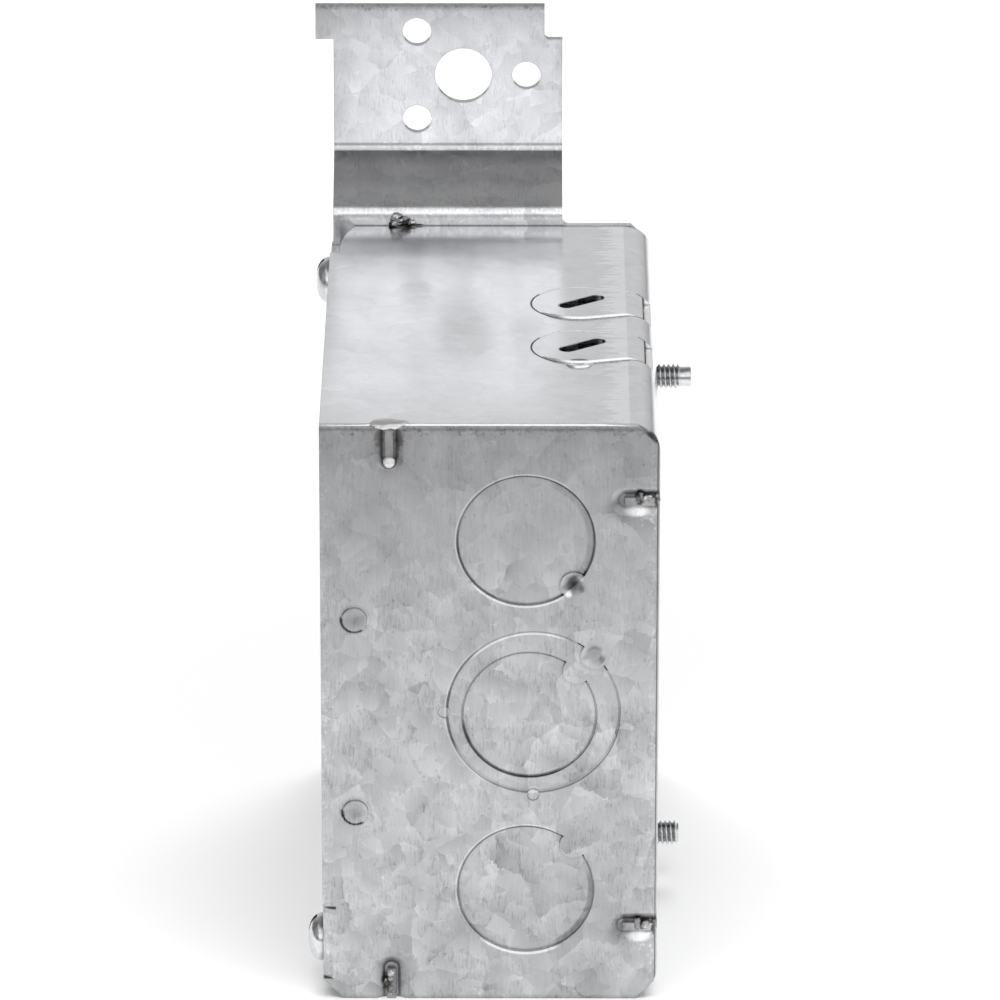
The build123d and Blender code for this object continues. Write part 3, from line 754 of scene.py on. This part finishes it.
for side_name, tongue_y in tongue_ys.items():
    edge = tongue_edge(tongue_y)
    lip("pry_lip_" + side_name, edge, 0.4, 0.6)
    rear = [(point[0], 2 * tongue_y - point[1], point[2]) for point in edge]
    lip("pry_rear_edge_" + side_name, rear, 0.06, 0.42)
rim = []
rim_steps = 16
for k in range(rim_steps + 1):
    angle = math.radians(185 + 170 * k / rim_steps)
    rim.append((dish_x + dish_radius * math.cos(angle), dish_y + dish_radius * math.sin(angle), wall_top))
lip("pry_dish_rim", rim, 0.3, 1.4)
burr = []
burr_start, burr_length, burr_steps = -27.3, 50.2, 60
for k in range(burr_steps + 1):
    waver = 0.12 * noise.noise((k * 0.6, 0, 0))
    burr.append((burr_start + burr_length * k / burr_steps, near_y + 0.5 + waver, wall_top))
lip("top_edge_burr", burr, 0.3, 0.7)


def floor_material():
    """White floor that camera and mirror rays see a little brighter, so it is white and keeps its shadow."""
    material, n = new_material("white_floor")
    white = n.put(n.add("ShaderNodeBsdfDiffuse"), {"Color": (0.85, 0.85, 0.85, 1)})
    glow = n.put(n.add("ShaderNodeEmission"), {"Strength": n.math("MULTIPLY", n.seen(), 0.14)})
    both = n.put(n.add("ShaderNodeAddShader"), {0: white.outputs[0], 1: glow.outputs[0]})
    n.put(n.add("ShaderNodeOutputMaterial"), {0: both.outputs[0]})
    return material


half = 4.0
corners = [(-half, -half, 0), (half, -half, 0), (half, half, 0), (-half, half, 0)]
floor_mesh = bpy.data.meshes.new("floor")
floor_mesh.from_pydata(corners, [], [(0, 1, 2, 3)])
floor = bpy.data.objects.new("floor", floor_mesh)
floor.location.z = -0.05 * MM
bpy.context.collection.objects.link(floor)
paint(floor, floor_material())

# Sky for the metal to mirror: bright in front, dark overhead, dimmer behind and at the ends.
world = bpy.data.worlds.new("studio")
bpy.context.scene.world = world
world.use_nodes = True
world.node_tree.nodes.clear()
w = Nodes(world.node_tree)
overhead, front, low_front, back, unseen_share = 0.24, 1.02, 0.30, 0.67, 0.16
east, north, up = w.split(w.add("ShaderNodeTexCoord").outputs["Generated"])
behind = w.ramp(north, -0.3, 0.3)
front_sky = w.math("ADD", w.ramp(up, 0.72, 0.96, front, overhead), w.ramp(up, 0.40, 0.60, low_front, 0.0))
back_sky = w.ramp(up, 0.40, 0.92, back, overhead)
sky = w.math("MULTIPLY_ADD", behind, w.math("SUBTRACT", back_sky, front_sky), front_sky)
right_dim = w.math("MULTIPLY", w.ramp(east, 0.28, 0.40, 0.0, 0.28), behind)
sky = w.math("MULTIPLY", sky, w.math("SUBTRACT", 1.0, right_dim))
horizon_dim = w.math("MULTIPLY", w.ramp(north, -0.7, -0.3, 1.0, 0.0), w.ramp(up, 0.05, 0.3, 0.6, 0.0))
sky = w.math("MULTIPLY", sky, w.math("SUBTRACT", 1.0, horizon_dim))
sky = w.math("MULTIPLY", sky, w.ramp(east, -0.8, -0.4, 0.3, 1.0))
sky_strength = w.ramp(w.seen(), 0.0, 1.0, unseen_share, 1.0, smooth=False)
glow = w.add("ShaderNodeBackground")
w.put(glow, {"Color": w.vector(sky, sky, sky), "Strength": sky_strength})
w.put(w.add("ShaderNodeOutputWorld"), {0: glow.outputs[0]})


def lamp(name, place, aim, width, height, power):
    """Soft box that lights the scene and isn't seen, in mirrors either."""
    data = bpy.data.lights.new(name, "AREA")
    data.shape = "RECTANGLE"
    data.size, data.size_y, data.energy = width, height, power
    obj = bpy.data.objects.new(name, data)
    obj.location = place
    obj.rotation_euler = (Vector(aim) - Vector(place)).to_track_quat("-Z", "Y").to_euler()
    obj.visible_camera = False
    obj.visible_glossy = False
    bpy.context.collection.objects.link(obj)


lamp("front_box", (0, -0.112, 0.17), (0, -0.09, 0.0), 0.26, 0.1, 0.345)
lamp("back_box", (0, 0.55, 0.75), (0, 0.28, 0.0), 1.0, 0.5, 9.1)

azimuth, elevation, distance = math.radians(0.124), math.radians(20.946), 1.3746
target = Vector((1.67, near_y, 88.92)) * MM
flat = math.cos(elevation)
away = Vector((math.sin(azimuth) * flat, -math.cos(azimuth) * flat, math.sin(elevation)))
camera_data = bpy.data.cameras.new("camera")
camera_data.sensor_width = 36.0
camera_data.lens = 303.6
camera_data.clip_start, camera_data.clip_end = 0.1, 20.0
camera = bpy.data.objects.new("camera", camera_data)
bpy.context.collection.objects.link(camera)
camera.location = target + away * distance
camera.rotation_mode = "QUATERNION"
camera.rotation_quaternion = (-away).to_track_quat("-Z", "Y")
bpy.context.scene.camera = camera
bpy.context.scene.view_settings.view_transform = "Standard"
